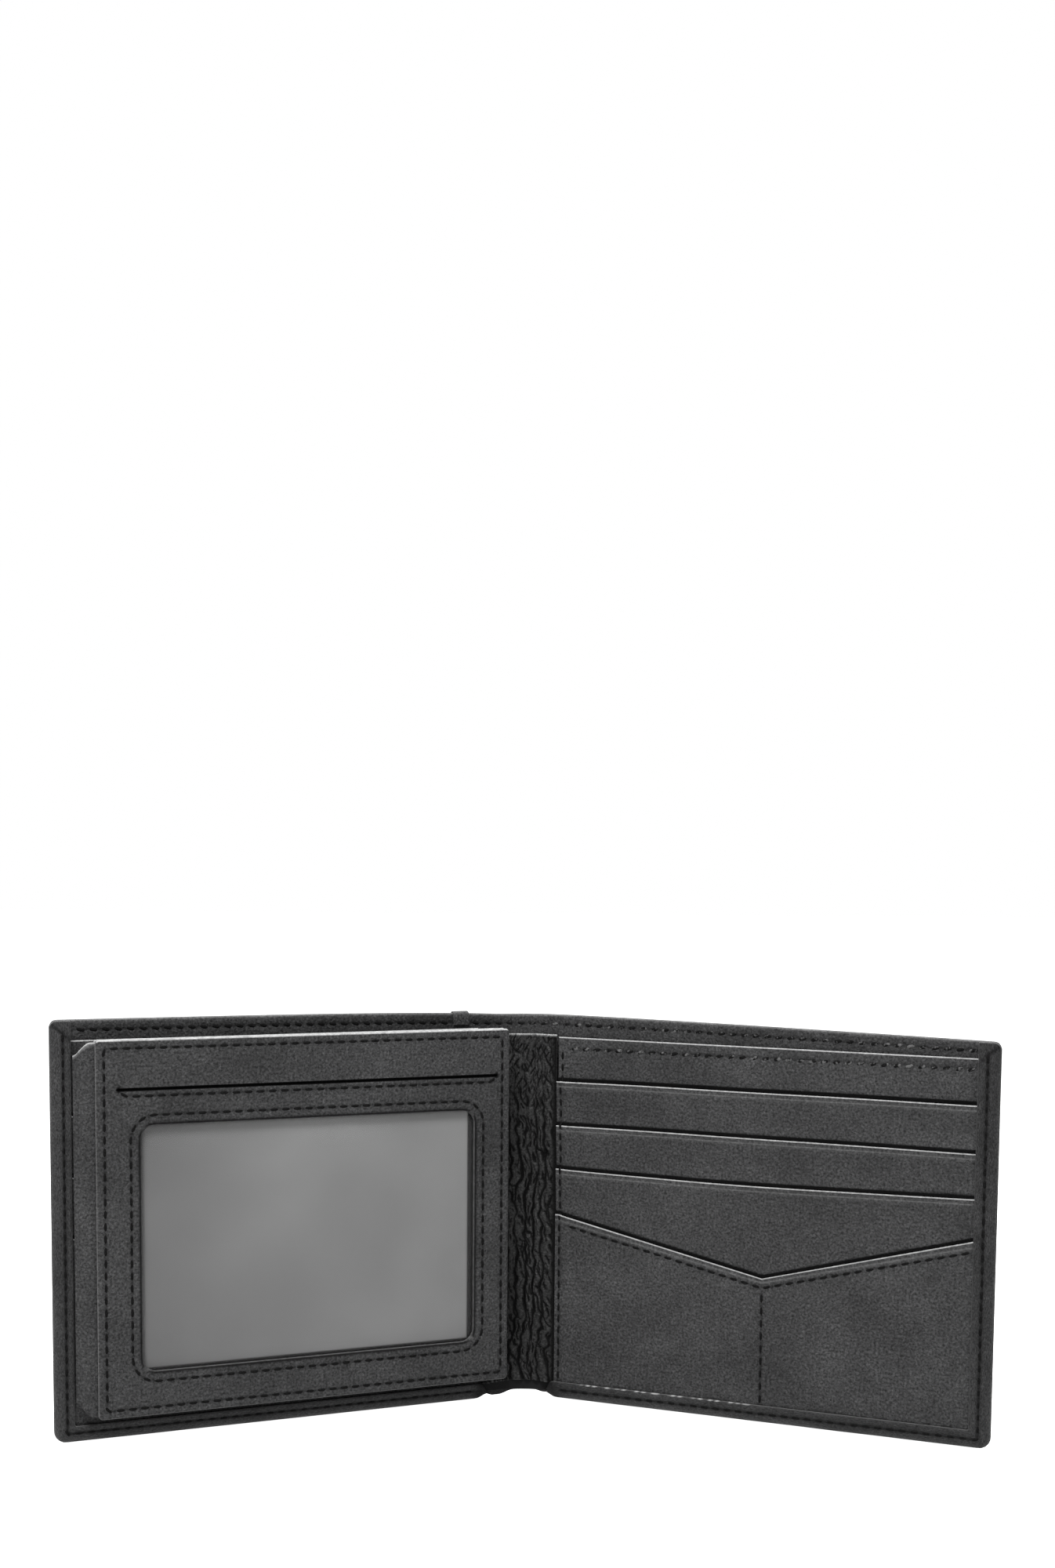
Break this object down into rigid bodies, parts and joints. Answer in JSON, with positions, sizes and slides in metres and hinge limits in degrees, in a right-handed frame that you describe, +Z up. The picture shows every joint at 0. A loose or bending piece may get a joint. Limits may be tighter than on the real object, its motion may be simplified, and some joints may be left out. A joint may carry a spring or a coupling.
{
  "type": "trifold wallet",
  "caption": "Leather trifold wallet standing open: folding shell with bill compartment, card pockets, V-mouth pocket and flip-out ID window flap.",
  "frame": {"origin": "middle of the footprint of the open wallet, on the surface that it stands on", "axes": "+Z up along the spine, +X towards the leaf with the V pocket, -Y towards the owner who looks into the open wallet"},
  "size_m": [0.199, 0.047, 0.0895],
  "materials": {
    "shell_leather": "smooth black leather, satin",
    "pocket_leather": "smooth black leather with painted edges, satin",
    "gusset_leather": "soft crinkled black leather",
    "lining_fabric": "black woven lining",
    "divider_fabric": "grey napped textile",
    "window_film": "clear flexible film",
    "thread": "black polyester thread"
  },
  "bodies": {
    "spine": {"shell_spine": "shell_leather", "bill_lining_spine": "lining_fabric", "spine_gusset": "gusset_leather"},
    "left_leaf": {"shell_left": "shell_leather", "bill_lining_left": "lining_fabric", "bill_wall_lining_left": "lining_fabric", "panel_left": "pocket_leather", "card_pocket_left_1": "pocket_leather", "card_pocket_left_2": "pocket_leather", "card_pocket_left_3": "pocket_leather", "slot_lining_left_1": "lining_fabric", "slot_lining_left_2": "lining_fabric", "top_fold_tab": "shell_leather", "thread_border_left": "thread", "thread_hem_left": "thread"},
    "right_leaf": {"shell_right": "shell_leather", "bill_lining_right": "lining_fabric", "bill_wall_lining_right": "lining_fabric", "panel_right": "pocket_leather", "card_pocket_right_1": "pocket_leather", "card_pocket_right_2": "pocket_leather", "card_pocket_right_3": "pocket_leather", "slot_lining_right_1": "lining_fabric", "slot_lining_right_2": "lining_fabric", "slot_lining_right_3": "lining_fabric", "v_pocket_right": "pocket_leather", "thread_border_right": "thread", "thread_hem_right": "thread", "thread_panel_top_right": "thread", "thread_spine_side_right": "thread", "thread_v_edge": "thread", "thread_v_divider": "thread"},
    "id_flap": {"flap_front": "pocket_leather", "flap_back": "pocket_leather", "window_film_front": "window_film", "window_film_back": "window_film", "id_divider": "divider_fabric", "flap_hinge_strip": "pocket_leather", "thread_flap_edge": "thread", "thread_window_front": "thread", "thread_window_back": "thread", "thread_slit": "thread"}
  },
  "joints": [
    {"name": "left_fold", "type": "hinge", "parent": "spine", "child": "left_leaf", "pos_m": [-0.00698, 0.02033, 0.0445], "axis": [0, 0, 1], "range_deg": [-23.5, 66.4], "deforming": ["spine_gusset"]},
    {"name": "right_fold", "type": "hinge", "parent": "spine", "child": "right_leaf", "pos_m": [0.00698, 0.02033, 0.0445], "axis": [0, 0, -1], "range_deg": [-23.5, 66.4], "deforming": ["spine_gusset"]},
    {"name": "flap_turn", "type": "hinge", "parent": "left_leaf", "child": "id_flap", "pos_m": [-0.09479, -0.02198, 0.046], "axis": [0, 0, -1], "range_deg": [0, 180], "deforming": ["flap_hinge_strip"]}
  ]
}
